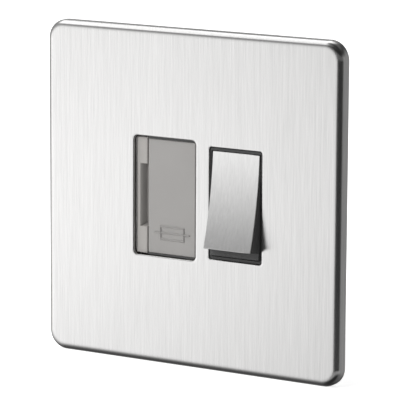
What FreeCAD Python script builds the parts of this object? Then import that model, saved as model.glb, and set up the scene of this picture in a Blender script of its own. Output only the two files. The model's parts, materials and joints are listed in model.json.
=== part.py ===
import FreeCAD, Part
import math
import os

os.makedirs("parts", exist_ok=True)

# Switched fused spur unit. Origin: midway between the fixing holes, on the wall plane.
# +X is to the right, +Z is up and the front looks along -Y. Millimetres and degrees.

# Face plate
plate_side = 88.0
plate_depth = 3.5
plate_wall = 0.9
plate_corner_r = 5.0
plate_edge_r = 1.6
plate_edge_ease = 0.35
skirt_clear = 0.2
catch_length = 6.0
catch_reach = 0.9
catch_thick = 0.6
catch_from_wall = 0.5
catch_spacing = 40.0

# Fixing frame
fixing_centres = 60.3
fixing_hole_r = 2.0
fixing_seat = 1.0
fixing_head_r = 3.6
fixing_boss_half = 5.0
frame_depth = 2.3
frame_skin = 1.2
frame_gap = 0.5
frame_rim = 1.6
frame_corner_r = 3.6
catch_clear = 0.1

# Fuse aperture and what shows in it
fuse_aperture_r = 1.2
aperture_bar = 4.1
insert_gap = 0.3
hinge_gap = 0.5
strip_w = 3.25
panel_gap = 0.25
panel_end_gap = 0.6
panel_thick = 1.8
edge_bevel = 0.2
slot_w = 2.2
slot_h = 16.6
slot_depth = 1.8
slot_slope = 1.05
slot_bevel = 0.8
flange_thick = 1.2
flange_side = 2.8
flange_right = 2.2
flange_margin = 1.5
pull_notch_h = 8.0
pull_notch_d = 0.8

# Carrier hinge
hinge_inset = 1.1
hinge_depth = 1.3
pip_r = 0.7
pip_length = 1.1
ear_half_w = 1.7
ear_thick = 1.4
ear_wall = 0.4
sweep_clear = 0.35
sweep_margin = 1.59
web_thick = 1.6
web_end_angle = 100.0
web_root = 4.0
cradle_w = 5.0
mouth_angle = 153.0
mouth_grip = 0.25

# Cartridge fuse
fuse_length = 25.4
fuse_r = 3.15
fuse_cap_length = 5.8
fuse_barrel_r = 2.95
fuse_end_clear = 0.7
fuse_left = 6.3
fuse_behind = 5.5

# Fuse clips
clip_thick = 0.5
clip_w = 5.0
clip_wrap = 80.0
clip_lip = 1.2
inner_lip_flare = 45.0
outer_lip_flare = 35.0
clip_leg_thick = 0.6
clip_leg_sink = 0.35

# Rocker
rocker_aperture_w = 15.5
rocker_end_gap = 0.15
rocker_aperture_x = 13.45
rocker_aperture_r = 0.7
rocker_side_gap = 0.6
rocker_tilt = 10.3
pivot_depth = 5.1
face_half = 12.5
face_height = 7.15
face_r = 100.0
cap_thick = 0.5
cap_ledge = 0.22
cap_edge = 0.15
cap_over = 0.2
rocker_wall = 1.2
rocker_roof = 1.4
rocker_skirt = 1.0
rocker_ledge = 3.2
trunnion_r = 1.25
trunnion_length = 1.35
trunnion_lug = 2.0
rocker_rib_place = 7.0
rocker_rib_thick = 1.0
rocker_rib_foot = 1.0

# Switch poles
pole_pitch = 6.8
guide_half = 2.1
guide_end = 4.8
plunger_half = 1.25
plunger_top = 0.5
plunger_nose = 0.8
plunger_reach = 9.0
plunger_clear = 0.08
spring_wire_r = 0.18
spring_turns = 3.0
spring_steps = 8
spring_side_gap = 0.12
seesaw_tilt = 8.0
seesaw_thick = 0.8
seesaw_w = 3.6
seesaw_corner = 1.0
seesaw_end = 0.1
seesaw_down = 6.4
pivot_tab_h = 0.9
pivot_hole_r = 0.7
tip_w = 2.6
tip_h = 2.6
tip_thick = 0.6
fixed_tip_h = 2.0
tip_place = 8.2
tip_gap = 0.1
cheek_thick = 0.5
cheek_gap = 0.2
cheek_wall = 0.75
bracket_up = 3.5
bracket_down = 4.0
fixed_bar_start = 6.6
fixed_bar_bend = 14.0

# Straps and terminals
strap_thick = 0.6
strap_w = 3.0
link_w = 3.3
link_foot = 3.9
terminal_w = 7.0
terminal_d = 8.0
terminal_l = 8.5
wire_bore_r = 2.1
strap_lap = 1.7
screw_r = 1.75
screw_stand = 1.6
terminal_gap = 0.5
load_lap = 0.33
barrier_gap = 0.4
earth_bar_w = 3.4
earth_finger_gap = 0.75
earth_finger_h = 4.0
earth_finger_clear = 0.3

# Housing and rear cover
shelf_margin = 1.75
housing_wall = 1.6
housing_corner = 1.2
tower_wall = 1.2
tower_clear = 0.1
tower_depth = 7.0
window_clear = 0.2
shelf_end = 0.6
shelf_depth = 4.4
shelf_floor = 1.4
divider_thick = 1.2
divider_over = 0.9
barrier_thick = 1.0
barrier_start = 8.0
cover_thick = 1.8
cover_gap = 1.3
latch_w = 5.0
latch_place = 9.0
latch_length = 6.0
latch_thick = 0.9
latch_hook = 0.5
latch_barb = 1.2

# Clearances
running = 0.08
fit = 0.1
seat = 0.05
grip = 0.1
step_over = 1.0

# Places worked out from the sizes above
X_AXIS = FreeCAD.Vector(1, 0, 0)
Y_AXIS = FreeCAD.Vector(0, 1, 0)
Z_AXIS = FreeCAD.Vector(0, 0, 1)
face_y = -plate_depth
insert_y = face_y + plate_wall
skirt_half = plate_side / 2 - plate_wall
frame_half = skirt_half - frame_gap

panel_half_h = fuse_length / 2 + fuse_end_clear + web_thick
fuse_aperture_h = 2 * (panel_half_h + panel_end_gap)
sweep_r = math.hypot(fuse_left, fuse_behind) + fuse_r + sweep_margin
fuse_aperture_w = insert_gap + strip_w + sweep_clear + sweep_r + hinge_inset + hinge_gap
fuse_aperture_x = rocker_aperture_x - rocker_aperture_w / 2 - aperture_bar - fuse_aperture_w / 2
strip_left = fuse_aperture_x - fuse_aperture_w / 2 + insert_gap
strip_right = strip_left + strip_w
strip_half_h = fuse_aperture_h / 2 - insert_gap
panel_left = strip_right + panel_gap
panel_right = fuse_aperture_x + fuse_aperture_w / 2 - hinge_gap
panel_back = insert_y + panel_thick
hinge_x = panel_right - hinge_inset
hinge_y = insert_y + hinge_depth
fuse_x = hinge_x - fuse_left
fuse_y = hinge_y + fuse_behind
fuse_away = math.degrees(math.atan2(fuse_left, fuse_behind))
carrier_open_x = panel_right + math.hypot(hinge_inset, hinge_depth) - hinge_inset + insert_gap
ear_start = panel_half_h + insert_gap
ear_end = ear_start + ear_thick
flange_half_h = ear_end + window_clear
flange_left = strip_left - flange_side
flange_far = carrier_open_x + flange_right - ear_wall

pivot_y = face_y + pivot_depth
rocker_w = rocker_aperture_w - 2 * rocker_side_gap
rocker_left = rocker_aperture_x - rocker_w / 2
rocker_right = rocker_aperture_x + rocker_w / 2
end_r = math.hypot(face_half, face_height)
rocker_aperture_h = 2 * (end_r + rocker_end_gap)
face_sag = face_r - math.sqrt(face_r ** 2 - face_half ** 2)
roof_under = face_height - face_sag - cap_thick - rocker_roof
pole_xs = {
    "live": rocker_aperture_x - pole_pitch / 2,
    "neutral": rocker_aperture_x + pole_pitch / 2,
}

seesaw_front = pivot_y + plunger_reach + plunger_clear
seesaw_y = seesaw_front + seesaw_thick / 2
seesaw_up = tip_place + tip_h / 2 + seesaw_end
cheek_inner = seesaw_w / 2 + cheek_gap
bracket_half = cheek_inner + cheek_thick

tip_lean = math.radians(seesaw_tilt)
tip_back = (seesaw_front + seesaw_thick + tip_thick - seesaw_y) / math.cos(tip_lean)
fixed_tip_front = seesaw_y + tip_back + (tip_place + fixed_tip_h / 2) * math.tan(tip_lean) + tip_gap
fixed_bar_front = fixed_tip_front + tip_thick
chamber_depth = fixed_bar_front + strap_thick + cover_gap
chamber_half_h = flange_half_h + flange_margin

wire_bore_y = shelf_depth + fit + terminal_d / 2
strap_y = shelf_depth + fit + terminal_d
strap_back = strap_y + strap_thick
terminal_start = chamber_half_h + terminal_gap
terminal_end = terminal_start + terminal_l
shelf_far = terminal_end + shelf_end
screw_z = (terminal_start + strap_lap + terminal_end) / 2
supply_pitch = terminal_w + 2 * (divider_thick + fit) + barrier_gap
supply_xs = {
    "live": rocker_aperture_x - supply_pitch / 2,
    "neutral": rocker_aperture_x + supply_pitch / 2,
}
earth_x = -supply_xs["neutral"]
housing_half_w = supply_xs["neutral"] + terminal_w / 2 + fit + divider_thick + shelf_margin
clip_foot_x = fuse_x + fuse_r * math.cos(math.radians(fuse_away)) + strap_w - strap_thick
live_load_x = clip_foot_x + load_lap - terminal_w / 2

tower_left = rocker_aperture_x - rocker_aperture_w / 2 - tower_clear
tower_right = rocker_aperture_x + rocker_aperture_w / 2 + tower_clear
tower_half_h = rocker_aperture_h / 2 + tower_clear
earth_finger_x = flange_left - earth_finger_gap - strap_thick


def box(x, y, z):
    return Part.makeBox(x[1] - x[0], y[1] - y[0], z[1] - z[0], FreeCAD.Vector(x[0], y[0], z[0]))


def around(middle, half):
    return (middle - half, middle + half)


def rodX(y, z, r, x):
    return Part.makeCylinder(r, x[1] - x[0], FreeCAD.Vector(x[0], y, z), X_AXIS)


def rodY(x, z, r, y):
    return Part.makeCylinder(r, y[1] - y[0], FreeCAD.Vector(x, y[0], z), Y_AXIS)


def rodZ(x, y, r, z):
    return Part.makeCylinder(r, z[1] - z[0], FreeCAD.Vector(x, y, z[0]), Z_AXIS)


def edgesAlong(solid, axis):
    found = []
    for edge in solid.Edges:
        run = edge.Vertexes[-1].Point - edge.Vertexes[0].Point
        if run.Length > 0 and abs(run.dot(axis)) > 0.999 * run.Length:
            found.append(edge)
    return found


def edgesAtY(solid, y):
    return [edge for edge in solid.Edges if edge.BoundBox.YMax - edge.BoundBox.YMin < 1e-6
            and abs(edge.BoundBox.YMin - y) < 1e-6]


def roundedBlock(x, y, z, r):
    solid = box(x, y, z)
    return solid.makeFillet(r, edgesAlong(solid, Y_AXIS))


def flatXY(points):
    return Part.Face(Part.makePolygon([FreeCAD.Vector(*p) for p in points + points[:1]]))


def prismX(points, x):
    corners = [FreeCAD.Vector(x[0], y, z) for y, z in points]
    face = Part.Face(Part.makePolygon(corners + corners[:1]))
    return face.extrude(FreeCAD.Vector(x[1] - x[0], 0, 0))


def polar(x, y, r, degrees):
    a = math.radians(degrees)
    return FreeCAD.Vector(x + r * math.cos(a), y + r * math.sin(a), 0)


def fused(first, others):
    return first.fuse(others).removeSplitter()


def save(name, solids):
    shape = solids[0] if len(solids) == 1 else Part.makeCompound(solids)
    shape.exportStep("parts/" + name + ".step")


# Pressed face plate with its apertures and the catches inside its skirt
def catchPlaces():
    places = []
    for along in (-catch_spacing / 2, catch_spacing / 2):
        for side in (-1, 1):
            places.append((side, along))
    return places


def catchBlock(side, along, reach, thick, length):
    across = sorted((side * (skirt_half + plate_wall / 2), side * (skirt_half - reach)))
    y = (-catch_from_wall - thick, -catch_from_wall)
    return box(across, y, around(along, length / 2))


def facePlate():
    half = plate_side / 2
    outer = roundedBlock(around(0, half), (face_y, -skirt_clear), around(0, half), plate_corner_r)
    flat = plate_edge_r * (2 - math.sqrt(2))
    outer = outer.makeChamfer(flat, edgesAtY(outer, face_y))
    rims = edgesAtY(outer, face_y) + edgesAtY(outer, face_y + flat)
    outer = outer.makeChamfer(flat * plate_edge_ease, rims)
    inner = roundedBlock(around(0, skirt_half), (insert_y, 0), around(0, skirt_half),
                         plate_corner_r - plate_wall)
    catches = [catchBlock(*place, catch_reach, catch_thick, catch_length) for place in catchPlaces()]
    shell = fused(outer.cut(inner), catches)
    for x, w, h, r in ((fuse_aperture_x, fuse_aperture_w, fuse_aperture_h, fuse_aperture_r),
                       (rocker_aperture_x, rocker_aperture_w, rocker_aperture_h, rocker_aperture_r)):
        opening = roundedBlock(around(x, w / 2), (face_y - step_over, 0), around(0, h / 2), r)
        shell = shell.cut(opening)
    return shell


# Moulded frame that the wall screws hold, cored from behind
def windowSizes():
    fuse = ((strip_left - insert_gap, carrier_open_x + window_clear),
            around(0, ear_end + window_clear))
    tower = ((tower_left - tower_wall - window_clear, tower_right + tower_wall + window_clear),
             around(0, tower_half_h + tower_wall + window_clear))
    return (fuse, tower)


def grown(span, by):
    return (span[0] - by, span[1] + by)


def fixingFrame():
    front = -frame_depth
    skin_back = front + frame_skin
    blank = roundedBlock(around(0, frame_half), (front, 0), around(0, frame_half), frame_corner_r)
    inside = frame_half - frame_rim
    core = box(around(0, inside), (skin_back, step_over), around(0, inside))
    for x, z in windowSizes():
        core = core.cut(box(grown(x, frame_rim), (skin_back, step_over), grown(z, frame_rim)))
    for side in (-1, 1):
        core = core.cut(box(around(side * fixing_centres / 2, fixing_boss_half), (skin_back, step_over),
                            around(0, fixing_boss_half)))
        z = sorted((side * inside, side * (windowSizes()[1][1][1] + frame_rim)))
        for x in (live_load_x, supply_xs["neutral"]):
            core = core.cut(box(around(x, frame_rim / 2), (skin_back, step_over), z))
    frame = blank.cut(core)
    for x, z in windowSizes():
        frame = frame.cut(box(x, (front - step_over, step_over), z))
    for side in (-1, 1):
        x = side * fixing_centres / 2
        frame = frame.cut(rodY(x, 0, fixing_hole_r, (front - step_over, step_over)))
        frame = frame.cut(rodY(x, 0, fixing_head_r, (front - step_over, -fixing_seat)))
    for place in catchPlaces():
        pocket = catchBlock(*place, catch_reach + catch_clear, catch_thick + catch_from_wall + catch_clear,
                            catch_length + 2 * catch_clear)
        pocket.translate(FreeCAD.Vector(0, catch_from_wall, 0))
        frame = frame.cut(pocket)
    return frame.cut(earthFingerWay(front - step_over, step_over))


def earthFingerWay(y0, y1):
    x = (earth_finger_x - earth_finger_clear, earth_finger_x + strap_thick + earth_finger_clear)
    return box(x, (y0, y1), around(0, earth_finger_h / 2 + earth_finger_clear))


# Grey moulding around the carrier, with the strip and the screwdriver slot
def slotPocket():
    half = slot_h / 2
    left = strip_right - slot_w
    over = strip_right + step_over
    mouth = [(left, insert_y, -half), (over, insert_y, -half), (over, insert_y, half), (left, insert_y, half)]
    floor_y = insert_y + slot_depth
    low = -half + slot_bevel
    high = half - slot_bevel / 2
    floor_left = left + slot_slope
    floor = [(floor_left, floor_y, low), (over, floor_y, low), (over, floor_y, high),
             (floor_left, floor_y, high)]
    wires = [flatXY(mouth).OuterWire, flatXY(floor).OuterWire]
    return Part.makeLoft(wires, True, True)


def fuseSurround():
    flange = box((flange_left, flange_far), (0, flange_thick), around(0, flange_half_h))
    opening = box((strip_right, carrier_open_x), (-step_over, flange_thick + step_over),
                  around(0, ear_start))
    strip = box((strip_left, strip_right), (insert_y, 0), around(0, strip_half_h))
    strip = strip.makeChamfer(edge_bevel, edgesAtY(strip, insert_y))
    ears = []
    for side in (-1, 1):
        z = sorted((side * ear_start, side * ear_end))
        ears.append(box(around(hinge_x, ear_half_w), (hinge_y - pip_r - running - ear_wall, 0), z))
    body = fused(flange.cut(opening), [strip] + ears)
    body = body.cut(slotPocket())
    span = ear_end + step_over
    return body.cut(rodZ(hinge_x, hinge_y, pip_r + running, (-span, span)))


# Swing-out fuse carrier: panel, end webs, cradle ribs and hinge pips
def carrierWeb(z):
    start = polar(hinge_x, hinge_y, sweep_r, 180)
    middle = polar(hinge_x, hinge_y, sweep_r, (180 + web_end_angle) / 2)
    end = polar(hinge_x, hinge_y, sweep_r, web_end_angle)
    root_x = hinge_x + hinge_inset - edge_bevel
    root = FreeCAD.Vector(root_x, hinge_y + web_root, 0)
    foot = FreeCAD.Vector(root_x, hinge_y, 0)
    edges = [Part.Arc(start, middle, end).toShape()]
    for a, b in ((end, root), (root, foot), (foot, start)):
        edges.append(Part.LineSegment(a, b).toShape())
    web = Part.Face(Part.Wire(edges)).extrude(FreeCAD.Vector(0, 0, z[1] - z[0]))
    web.translate(FreeCAD.Vector(0, 0, z[0]))
    return web


def cradle(z):
    hole_r = fuse_barrel_r + fit
    over = (z[0] - step_over, z[1] + step_over)
    mouth = box((0, sweep_r), around(0, hole_r - mouth_grip), over)
    mouth.rotate(FreeCAD.Vector(0, 0, 0), Z_AXIS, mouth_angle)
    mouth.translate(FreeCAD.Vector(fuse_x, fuse_y, 0))
    panel_side = box((panel_left, panel_right), (insert_y, panel_back), over)
    return carrierWeb(z).cut(rodZ(fuse_x, fuse_y, hole_r, over)).cut(mouth.cut(panel_side))


def fuseCarrier():
    panel = box((panel_left, panel_right), (insert_y, panel_back), around(0, panel_half_h))
    panel = panel.makeChamfer(edge_bevel, edgesAtY(panel, insert_y))
    pieces = [cradle(around(0, cradle_w / 2))]
    for side in (-1, 1):
        pieces.append(carrierWeb(sorted((side * panel_half_h, side * (panel_half_h - web_thick)))))
        pieces.append(rodZ(hinge_x, hinge_y, pip_r, sorted((side * (panel_half_h - web_thick),
                                                            side * (panel_half_h + pip_length)))))
    notch = box((panel_left - step_over, panel_left + pull_notch_d),
                (panel_back - pull_notch_d, panel_back + step_over), around(0, pull_notch_h / 2))
    return fused(panel, pieces).cut(notch)


# Cartridge fuse
def fuseBarrel():
    return rodZ(fuse_x, fuse_y, fuse_barrel_r - fit / 2, around(0, fuse_length / 2 - fuse_cap_length))


def fuseCap(side):
    z = sorted((side * fuse_length / 2, side * (fuse_length / 2 - fuse_cap_length)))
    return rodZ(fuse_x, fuse_y, fuse_r, z)


# Spring clip that grips one fuse cap: saddle, flared lips, leg and foot
def clipStrip(points, z):
    face = flatXY([(p.x, p.y, z[0]) for p in points])
    return face.extrude(FreeCAD.Vector(0, 0, z[1] - z[0]))


def clipLip(at, way, flare, z):
    inner_r = fuse_r + grip
    inner = polar(fuse_x, fuse_y, inner_r, at)
    outer = polar(fuse_x, fuse_y, inner_r + clip_thick, at)
    run = polar(0, 0, clip_lip, at + way * (90 - flare))
    return clipStrip([inner, outer, outer + run, inner + run], z)


def fuseClip(side, foot_y, foot_x, foot_end):
    middle = side * (fuse_length / 2 - fuse_cap_length / 2)
    z = around(middle, clip_w / 2)
    start = fuse_away - clip_wrap
    end = fuse_away + clip_wrap
    inner_r = fuse_r + grip
    outer = Part.makeCylinder(inner_r + clip_thick, clip_w, FreeCAD.Vector(0, 0, 0), Z_AXIS, end - start)
    inner = Part.makeCylinder(inner_r, clip_w, FreeCAD.Vector(0, 0, 0), Z_AXIS, 360)
    saddle = outer.cut(inner)
    saddle.rotate(FreeCAD.Vector(0, 0, 0), Z_AXIS, start)
    saddle.translate(FreeCAD.Vector(fuse_x, fuse_y, z[0]))
    leg_x = clip_foot_x - strap_w + strap_thick
    leg_start = fuse_y + math.sqrt(inner_r ** 2 - (leg_x - fuse_x) ** 2) + clip_leg_sink
    leg = box((leg_x, leg_x + clip_leg_thick), (leg_start, foot_y + strap_thick), z)
    foot_z = sorted((side * foot_end, side * (abs(middle) - clip_w / 2)))
    foot = box((leg_x, foot_x), (foot_y, foot_y + strap_thick), foot_z)
    lips = [clipLip(start, -1, inner_lip_flare, z), clipLip(end, 1, outer_lip_flare, z)]
    return fused(saddle, lips + [leg, foot])


# Rocker pieces are drawn level and then tilted to the rest position
def tilted(solid):
    solid.rotate(FreeCAD.Vector(0, pivot_y, 0), X_AXIS, -rocker_tilt)
    return solid


def rockerPoint(w, u):
    return FreeCAD.Vector(0, pivot_y - u, w)


def faceArc(depth, half):
    centre_u = face_height - face_sag + face_r
    r = face_r + depth
    return centre_u - math.sqrt(r ** 2 - half ** 2), centre_u - r


def rockerProfile(top_depth, bottom_u):
    end_w = face_half - cap_over
    top_u, middle = faceArc(top_depth, end_w)
    ledge_w = math.sqrt(end_r ** 2 - rocker_ledge ** 2)
    low_w = math.sqrt(end_r ** 2 - bottom_u ** 2)
    mean = (math.atan2(rocker_ledge, ledge_w) + math.atan2(bottom_u, low_w)) / 2
    bulge = (end_r * math.cos(mean), end_r * math.sin(mean))
    edges = [
        Part.Arc(rockerPoint(-end_w, top_u), rockerPoint(0, middle), rockerPoint(end_w, top_u)).toShape(),
        Part.LineSegment(rockerPoint(low_w, bottom_u), rockerPoint(-low_w, bottom_u)).toShape(),
    ]
    for way in (-1, 1):
        path = [(end_w, top_u), (end_w, rocker_ledge), (ledge_w, rocker_ledge), bulge, (low_w, bottom_u)]
        top, step, lip, mid, low = [rockerPoint(way * w, u) for w, u in path]
        edges.append(Part.LineSegment(top, step).toShape())
        edges.append(Part.LineSegment(step, lip).toShape())
        edges.append(Part.Arc(lip, mid, low).toShape())
    return Part.Face(Part.Wire(Part.__sortEdges__(edges)))


def rockerCap():
    w = face_half
    u, middle = faceArc(0, w)
    under_u, under_middle = faceArc(cap_thick, w)
    edges = [
        Part.Arc(rockerPoint(-w, u), rockerPoint(0, middle), rockerPoint(w, u)).toShape(),
        Part.LineSegment(rockerPoint(w, u), rockerPoint(w, under_u)).toShape(),
        Part.Arc(rockerPoint(w, under_u), rockerPoint(0, under_middle), rockerPoint(-w, under_u)).toShape(),
        Part.LineSegment(rockerPoint(-w, under_u), rockerPoint(-w, u)).toShape(),
    ]
    width = rocker_w - 2 * cap_ledge
    cap = Part.Face(Part.Wire(edges)).extrude(FreeCAD.Vector(width, 0, 0))
    cap.translate(FreeCAD.Vector(rocker_left + cap_ledge, 0, 0))
    outer = [edge for edge in cap.Edges if edge.BoundBox.YMax < pivot_y - middle + 1e-3
             and edge.BoundBox.YMin < pivot_y - middle - face_sag / 2]
    return tilted(cap.makeChamfer(cap_edge, outer))


def rockerBody():
    body = rockerProfile(cap_thick, -rocker_skirt).extrude(FreeCAD.Vector(rocker_w, 0, 0))
    body.translate(FreeCAD.Vector(rocker_left, 0, 0))
    inside = (rocker_left + rocker_wall, rocker_right - rocker_wall)
    roof_w = face_half - cap_over - rocker_wall
    open_w = math.sqrt((end_r - rocker_wall) ** 2 - rocker_skirt ** 2)
    roof_y = pivot_y - roof_under
    ledge_y = pivot_y - rocker_ledge + rocker_wall
    open_y = pivot_y + rocker_skirt + step_over
    hollow = [(roof_y, -roof_w), (roof_y, roof_w), (ledge_y, roof_w), (ledge_y, open_w),
              (open_y, open_w), (open_y, -open_w), (ledge_y, -open_w), (ledge_y, -roof_w)]
    body = body.cut(prismX(hollow, inside))
    pieces = []
    for side in (-1, 1):
        z = around(side * rocker_rib_place, rocker_rib_thick / 2)
        pieces.append(box(inside, (pivot_y - roof_under - seat, pivot_y - rocker_rib_foot), z))
    for x in pole_xs.values():
        pieces.append(box(around(x, guide_half), (pivot_y - roof_under - seat, pivot_y + guide_end),
                          around(0, guide_half)))
    for x, way in ((rocker_left, 1), (rocker_right, -1)):
        pieces.append(box(sorted((x, x + way * rocker_wall)), (pivot_y, pivot_y + trunnion_lug),
                          around(0, trunnion_lug)))
        pieces.append(rodX(pivot_y, 0, trunnion_r,
                           sorted((x - way * trunnion_length, x + way * rocker_wall))))
    body = fused(body, pieces)
    for x in pole_xs.values():
        body = body.cut(box(around(x, plunger_half + running), (roof_y, pivot_y + guide_end + step_over),
                            around(0, plunger_half + running)))
    return tilted(body)


def plunger(x):
    tip_y = pivot_y + plunger_reach
    stem = box(around(x, plunger_half), (pivot_y - plunger_top, tip_y), around(0, plunger_half))
    nose = [edge for edge in stem.Edges if edge.BoundBox.YMin > tip_y - step_over / 2]
    return tilted(stem.makeChamfer(plunger_nose, nose))


def plungerSpring(x):
    coil_r = plunger_half + running - spring_side_gap - spring_wire_r
    bottom = plunger_top + seat + spring_wire_r
    top = roof_under - seat - spring_wire_r
    count = int(spring_turns * spring_steps)
    turns = []
    for k in range(count + 1):
        a = 2 * math.pi * k / spring_steps
        rise = (top - bottom) * k / count
        turns.append(FreeCAD.Vector(coil_r * math.cos(a), coil_r * math.sin(a), rise))
    corners = []
    for k in range(5):
        a = math.radians(90 * k + 45)
        corners.append(FreeCAD.Vector(coil_r + spring_wire_r * math.cos(a), 0, spring_wire_r * math.sin(a)))
    coil = Part.makePolygon(turns).makePipeShell([Part.makePolygon(corners)], True, False, 1)
    coil.rotate(FreeCAD.Vector(0, 0, 0), X_AXIS, 90)
    coil.translate(FreeCAD.Vector(x, pivot_y - bottom, 0))
    return tilted(coil)


# See-saw contact of one pole, drawn level and then tilted to the open position
def rocked(solid):
    solid.rotate(FreeCAD.Vector(0, seesaw_y, 0), X_AXIS, seesaw_tilt)
    return solid


def seesaw(x):
    y = (seesaw_front, seesaw_front + seesaw_thick)
    arm = box(around(x, seesaw_w / 2), y, (-seesaw_down, seesaw_up))
    arm = arm.makeChamfer(seesaw_corner, edgesAlong(arm, Y_AXIS))
    tabs = box(around(x, bracket_half - running), y, around(0, pivot_tab_h / 2))
    return rocked(fused(arm, [tabs]))


def movingTip(x):
    start = seesaw_front + seesaw_thick
    return rocked(box(around(x, tip_w / 2), (start, start + tip_thick), around(tip_place, tip_h / 2)))


def fixedTip(x):
    return box(around(x, tip_w / 2), (fixed_tip_front, fixed_bar_front), around(tip_place, fixed_tip_h / 2))


def fixedContact(x):
    front = fixed_bar_front
    back = front + strap_thick
    low = fixed_bar_bend + front - strap_y
    lean = strap_thick * math.tan(math.pi / 8)
    end = terminal_start + strap_lap
    points = [(front, fixed_bar_start), (front, fixed_bar_bend), (strap_y, low), (strap_y, end),
              (strap_back, end), (strap_back, low + lean), (back, fixed_bar_bend + lean),
              (back, fixed_bar_start)]
    return prismX(points, around(x, seesaw_w / 2))


def contactBracket(x, straps):
    base = box(around(x, bracket_half), (strap_y, strap_back), (-bracket_down, bracket_up))
    pieces = []
    for side in (-1, 1):
        across = sorted((x + side * cheek_inner, x + side * bracket_half))
        cheek_half = pivot_hole_r + cheek_wall
        pieces.append(box(across, (seesaw_y - cheek_half, strap_back), around(0, cheek_half)))
    bracket = fused(base, pieces + straps)
    return bracket.cut(rodX(seesaw_y, 0, pivot_hole_r, around(x, bracket_half + step_over)))


def liveLink():
    x = pole_xs["live"] - bracket_half
    link_z = (-link_foot, -link_foot + link_w)
    left = clip_foot_x - strap_w
    run = box((left, x + step_over), (strap_y, strap_back), link_z)
    rise = box((left, left + strap_w), (strap_y, strap_back),
               (-link_foot, fuse_length / 2 - fuse_cap_length / 2 + clip_w / 2))
    return [run, rise]


def neutralTail():
    x = pole_xs["neutral"]
    return [box(around(x, strap_w / 2), (strap_y, strap_back), (-terminal_start - strap_lap, -bracket_down))]


# Terminal blocks, their screws and the earth bar
def terminal(x, side):
    z = sorted((side * terminal_start, side * terminal_end))
    block = box(around(x, terminal_w / 2), (shelf_depth + fit, strap_y), z)
    block = block.cut(rodZ(x, wire_bore_y, wire_bore_r, (z[0] - step_over, z[1] + step_over)))
    return block.cut(rodY(x, side * screw_z, screw_r + seat, (wire_bore_y, strap_y + step_over)))


def terminalScrew(x, side):
    return rodY(x, side * screw_z, screw_r, (wire_bore_y + wire_bore_r, strap_y + screw_stand))


def earthBar():
    end = terminal_start + strap_lap
    bar = box((earth_x, earth_x + earth_bar_w), (strap_y, strap_back), around(0, end))
    half = earth_finger_h / 2
    wing = box((earth_finger_x, earth_x), (strap_y, strap_back), around(0, half))
    finger = box((earth_finger_x, earth_finger_x + strap_thick), (insert_y + seat, strap_back),
                 around(0, half))
    return fused(bar, [wing, finger])


# Front housing: chamber, rocker tower, terminal shelves, dividers and the catches of the cover
def terminalPlaces():
    return {
        "live_supply_terminal": (supply_xs["live"], 1),
        "neutral_supply_terminal": (supply_xs["neutral"], 1),
        "upper_earth_terminal": (earth_x, 1),
        "live_load_terminal": (live_load_x, -1),
        "neutral_load_terminal": (pole_xs["neutral"], -1),
        "lower_earth_terminal": (earth_x, -1),
    }


def shelf(side):
    z = sorted((side * (chamber_half_h - housing_wall), side * shelf_far))
    core_z = sorted((side * chamber_half_h, side * (shelf_far - housing_wall)))
    wide = housing_half_w - housing_wall
    body = box(around(0, housing_half_w), (0, shelf_depth), z)
    return body.cut(box(around(0, wide), (-step_over, shelf_depth - shelf_floor), core_z))


def dividers():
    walls = []
    for x, side in terminalPlaces().values():
        z = sorted((side * (chamber_half_h - seat), side * shelf_far))
        for way in (-1, 1):
            near = x + way * (terminal_w / 2 + fit)
            across = sorted((near, near + way * divider_thick))
            walls.append(box(across, (shelf_depth - seat, strap_y + divider_over), z))
    return walls


def strapWays():
    back = (strap_y - fit, chamber_depth + step_over)
    top = (chamber_half_h - housing_wall - step_over, chamber_half_h + fit)
    low = (-top[1], -top[0])
    ways = []
    for x in pole_xs.values():
        ways.append(box(around(x, seesaw_w / 2 + fit), back, top))
    for z in (top, low):
        ways.append(box((earth_x - fit, earth_x + earth_bar_w + fit), back, z))
    ways.append(box(around(pole_xs["neutral"], strap_w / 2 + fit), back, low))
    ways.append(box((clip_foot_x - strap_w - fit, clip_foot_x + fit), back, low))
    partition = (tower_left - tower_wall - step_over, tower_left + step_over)
    ways.append(box(partition, back, (-link_foot - fit, -link_foot + link_w + fit)))
    return ways


def chamberBlock(y):
    block = box(around(0, housing_half_w), y, around(0, chamber_half_h))
    return block.makeChamfer(housing_corner, edgesAlong(block, Y_AXIS))


def frontHousing():
    inner_w = housing_half_w - housing_wall
    inner_h = chamber_half_h - housing_wall
    body = chamberBlock((0, chamber_depth))
    body = body.cut(box(around(0, inner_w), (housing_wall, chamber_depth + step_over), around(0, inner_h)))
    tower_x = (tower_left - tower_wall, tower_right + tower_wall)
    tower_top = insert_y + fit
    pieces = [shelf(1), shelf(-1)] + dividers()
    pieces.append(box(tower_x, (tower_top, tower_depth), around(0, tower_half_h + tower_wall)))
    pieces.append(box((tower_left - tower_wall, tower_left), (housing_wall - seat, chamber_depth),
                      around(0, inner_h + seat)))
    pieces.append(box(around(rocker_aperture_x, barrier_thick / 2), (barrier_start, chamber_depth),
                      around(0, inner_h + seat)))
    body = fused(body, pieces)
    cuts = [box((tower_left, tower_right), (tower_top - step_over, barrier_start), around(0, tower_half_h))]
    cuts.append(box((flange_left - fit, flange_far + fit), (-step_over, flange_thick + seat),
                    around(0, flange_half_h + fit)))
    cuts.append(box((strip_right - window_clear, carrier_open_x + window_clear),
                    (-step_over, housing_wall + step_over), around(0, ear_start + window_clear)))
    cuts.append(rodX(pivot_y, 0, trunnion_r + running,
                     (rocker_left - trunnion_length - fit, rocker_right + trunnion_length + fit)))
    cuts.append(earthFingerWay(-step_over, housing_wall + step_over))
    cuts += latches(latch_w / 2 + fit, latch_thick + fit, latch_hook + fit)
    return body.cut(cuts + strapWays())


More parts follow.
